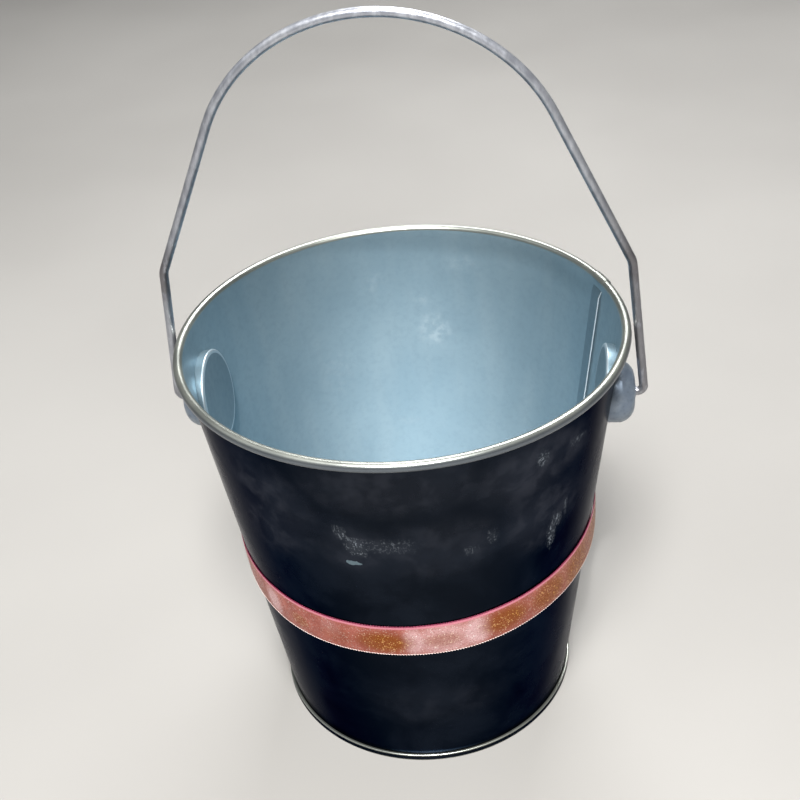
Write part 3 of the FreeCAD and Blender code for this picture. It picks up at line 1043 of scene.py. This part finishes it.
def drop_to_wall(point, inward):
    """Slides a point along inward until it lies just clear of the wall's inner face."""
    clear = 0.04 * MM
    low, high = -6 * MM, 6 * MM
    for _ in range(40):
        middle = (low + high) / 2
        p = point + inward * middle
        if p.xy.length > wall_radius(p.z, SHEET + clear):
            low = middle
        else:
            high = middle
    return point + inward * high


# ------------------------ ribbon

# Browner patches, partly blotches and partly painted shade where the ribbon mirrors dark surroundings,
# and paler, shinier ones that are painted highlights, given as the marks on the wall are
BROWN_PATCHES_AND_SHADE = [
    (-144.0, 66.0, 5.0, 5.0, 0.3), (-124.0, 67.5, 5.5, 4.5, 0.6), (-110.0, 68.0, 9.0, 6.0, 0.3),
    (-95.2, 68.3, 13.0, 7.0, 1.0), (-77.5, 68.9, 9.0, 4.6, 0.5), (-57.8, 70.8, 12.5, 7.4, 1.0),
    (-41.0, 71.5, 12.0, 8.5, 1.0), (-26.0, 72.0, 13.0, 12.0, 1.0), (-8.0, 73.5, 16.0, 14.0, 0.95),
    (30.0, 76.0, 14.0, 6.0, 0.7), (75.0, 78.0, 16.0, 5.0, 0.8), (120.0, 77.0, 12.0, 5.0, 0.6),
    (165.0, 73.0, 16.0, 6.0, 0.7), (-165.0, 70.0, 10.0, 4.0, 0.4),
]
# Painted highlights on the ribbon
PAINTED_HIGHLIGHTS = [
    (-136.0, 68.5, 5.5, 8.0, 0.8), (-86.0, 68.9, 5.5, 9.0, 0.9), (-67.5, 69.9, 7.5, 9.0, 1.0),
    (-77.0, 69.0, 14.0, 12.0, 0.75), (-112.0, 71.0, 5.0, 5.0, 0.2),
    (50.0, 78.0, 8.0, 6.0, 0.4), (140.0, 78.0, 8.0, 6.0, 0.4),
]
RIBBON_AT_WALL = wall_radius(RIBBON_TOP)
RIBBON_LEAN = math.hypot(RIBBON_RISE_X, RIBBON_RISE_Y)
RIBBON_RADIUS = RIBBON_AT_WALL * math.sqrt(1 + RIBBON_LEAN ** 2) + RIBBON_GAP
RIBBON_UP = Vector((-RIBBON_RISE_X, -RIBBON_RISE_Y, 1)).normalized()
RIBBON_TURN = Vector((0, 0, 1)).rotation_difference(RIBBON_UP).to_matrix()
RIBBON_SHIFT = Vector((
    math.tan(SLANT) * RIBBON_RISE_X * RIBBON_AT_WALL,
    math.tan(SLANT) * RIBBON_RISE_Y * RIBBON_AT_WALL,
    RIBBON_TOP,
))
RIBBON_LENGTH = math.radians(360 + RIBBON_LAP_WIDTH) * RIBBON_RADIUS


def ribbon_point(turned, down, lift=0.0):
    """A place on the ribbon: degrees from its first end, distance down from its upper
    edge, and height off its mid-surface."""
    azimuth = RIBBON_LAP_START + turned
    angle = math.radians(azimuth)
    over = RIBBON_LAP_STEP * smooth_step(360 - 16, 360 - 2, turned)
    share = min(1.0, max(0.0, down / RIBBON_WIDTH))
    slack = waves(8, 1.7 * math.cos(angle), 1.7 * math.sin(angle), 0.3 * turned / 360)
    flutter = waves(9, 6 * math.cos(angle), 6 * math.sin(angle), turned / 360)
    stand = (-0.22 + 0.35 * slack + 0.1 * flutter) * MM * share ** 1.3
    crown = 0.1 * MM * math.sin(math.pi * share) * (1 + slack)
    radius = RIBBON_RADIUS + over + stand + crown + lift
    settle = 0.12 * MM * flutter
    local = Vector((radius * math.cos(angle), radius * math.sin(angle), settle - down))
    return RIBBON_SHIFT + RIBBON_TURN @ local


def ribbon():
    """One strip of ribbon round the bucket, its end lapped over its start at the back."""
    total = 360 + RIBBON_LAP_WIDTH
    columns, rows = 744, 18
    half = RIBBON_THICK / 2
    outline = [(RIBBON_WIDTH * i / rows, half) for i in range(rows + 1)]
    outline += [(RIBBON_WIDTH * i / rows, -half) for i in range(rows, -1, -1)]
    points, marks = [], []
    for j in range(columns + 1):
        turned = total * j / columns
        for down, lift in outline:
            rounding = 0.6 if down in (0, RIBBON_WIDTH) else 1.0
            points.append(ribbon_point(turned, down, lift * rounding))
            marks.append((RIBBON_LENGTH * j / columns, down))
    count = len(outline)
    faces = closed_strip(count, columns + 1)
    strip = piece("ribbon", points, faces, [RIBBON_SATIN], "bucket",
                  ["ribbon_band"], crease=60)
    mesh = strip.data
    layer = mesh.uv_layers.new(name="weave")
    for loop in mesh.loops:
        layer.data[loop.index].uv = marks[loop.vertex_index]
    paint_marks(strip, "gold", BROWN_PATCHES_AND_SHADE)
    paint_marks(strip, "pale", PAINTED_HIGHLIGHTS)
    return strip


def picots(name, down, reach, look):
    """Row of tiny thread loops along one edge of the ribbon."""
    pitch = 0.95 * MM
    loops = round(RIBBON_LENGTH / pitch)
    samples, sides = 6, 5
    thread = 0.15 * MM
    total = 360 + RIBBON_LAP_WIDTH
    spine = []
    for k in range(loops * samples + 1):
        phase = 2 * math.pi * k / samples
        bulge = reach * (0.5 - 0.5 * math.cos(phase))
        turned = total * k / (loops * samples)
        sway = 0.05 * MM * math.sin(phase)
        spine.append(ribbon_point(turned, down + bulge, sway))
    points = []
    for k, place in enumerate(spine):
        along = (spine[min(k + 1, len(spine) - 1)] - spine[max(k - 1, 0)]).normalized()
        side = along.cross(RIBBON_UP).normalized()
        over = side.cross(along)
        for i in range(sides):
            angle = 2 * math.pi * i / sides
            points.append(place + (side * math.cos(angle) + over * math.sin(angle)) * thread)
    faces = closed_strip(sides, len(spine))
    return piece(name, points, faces, [look], "bucket", crease=80)


# ------------------------ studio

CAMERA_PLACE = (0.04648, -0.32919, 0.34999)
CAMERA_YAW = -0.1470
CAMERA_PITCH = 0.6033                  # downwards
CAMERA_ROLL = -0.0940
CAMERA_LENS = 52.93


def camera():
    """Camera above and in front of the bucket, looking down into it, tilted a little."""
    yaw, pitch, roll = CAMERA_YAW, CAMERA_PITCH, CAMERA_ROLL
    ahead = Vector((math.sin(yaw) * math.cos(pitch), math.cos(yaw) * math.cos(pitch), -math.sin(pitch)))
    right = Vector((math.cos(yaw), -math.sin(yaw), 0))
    over = right.cross(ahead)
    x_axis = right * math.cos(roll) + over * math.sin(roll)
    y_axis = over * math.cos(roll) - right * math.sin(roll)
    data = bpy.data.cameras.new("camera")
    data.lens = CAMERA_LENS
    data.sensor_width = 36.0
    data.clip_start = 0.01
    made = placed("camera", data)
    turn = Matrix((x_axis, y_axis, -ahead)).transposed().to_4x4()
    made.matrix_world = Matrix.Translation(CAMERA_PLACE) @ turn
    bpy.context.scene.camera = made


def aim(name, data, place, target):
    """Puts a light at a place, pointing at a target."""
    made = placed(name, data)
    made.location = place
    way = Vector(target) - Vector(place)
    made.rotation_euler = way.to_track_quat("-Z", "Y").to_euler()
    return made


def soft_light(name, place, target, width, height, power, colour):
    data = bpy.data.lights.new(name, "AREA")
    data.shape = "RECTANGLE"
    data.size, data.size_y = width, height
    data.energy = power
    data.color = colour
    aim(name, data, place, target)


def snoot_light(name, place, target, spread, power):
    """Round soft-edged beam, spread degrees across, that no mirror shows."""
    data = bpy.data.lights.new(name, "SPOT")
    data.spot_size = math.radians(spread)
    data.spot_blend = 1.0
    data.shadow_soft_size = 0.03
    data.energy = power
    aim(name, data, place, target).visible_glossy = False


def studio():
    """Plain pale floor, soft lights, two narrow ones into the bucket, and a neutral surround."""
    size = 4.0
    corners = [(-size, -size, 0), (size, -size, 0), (size, size, 0), (-size, size, 0)]
    mesh = bpy.data.meshes.new("studio_floor")
    mesh.from_pydata(corners, [], [(0, 1, 2, 3)])
    mesh.materials.append(studio_floor())
    floor = placed("studio_floor", mesh)
    middle = (0, 0, 0.1)
    soft_light("key", (0.03, -0.6, 1.15), middle, 0.35, 0.35, 34, (1.0, 0.99, 0.97))
    soft_light("fill", (-0.8, -0.2, 0.9), middle, 0.8, 0.8, 1.2, (0.95, 0.98, 1.0))
    soft_light("back", (0.1, 0.75, 1.0), middle, 0.6, 0.5, 12, (1.0, 1.0, 1.0))
    snoot_place = (0.03, -0.48, 0.86)
    snoot_light("inside_low", snoot_place, (-0.003, 0.058, 0.03), 8, 250)
    snoot_light("inside_high", snoot_place, (-0.002, 0.068, 0.105), 9, 90)
    world = bpy.data.worlds.new("studio")
    world.use_nodes = True
    surround = world.node_tree.nodes["Background"].inputs
    surround["Color"].default_value = (0.82, 0.86, 0.9, 1)
    surround["Strength"].default_value = 0.1
    bpy.context.scene.world = world
    settings = bpy.context.scene.view_settings
    settings.view_transform = "Standard"
    settings.look = "None"


def main():
    """The camera, every piece of the bucket, and the studio."""
    camera()
    pail_wall()
    lock_seam()
    rim_lap()
    base_panel()
    bail()
    for side, word in ((1, "right"), (-1, "left")):
        ear_boss(side, word)
        ear_cap(side, word)
    strip = ribbon()
    lower = picots("ribbon_edge_lower", RIBBON_WIDTH - 0.04 * MM, 0.34 * MM, PALE_THREAD)
    upper = picots("ribbon_edge_upper", -0.02 * MM, -0.08 * MM, MAGENTA_THREAD)
    studio()


main()
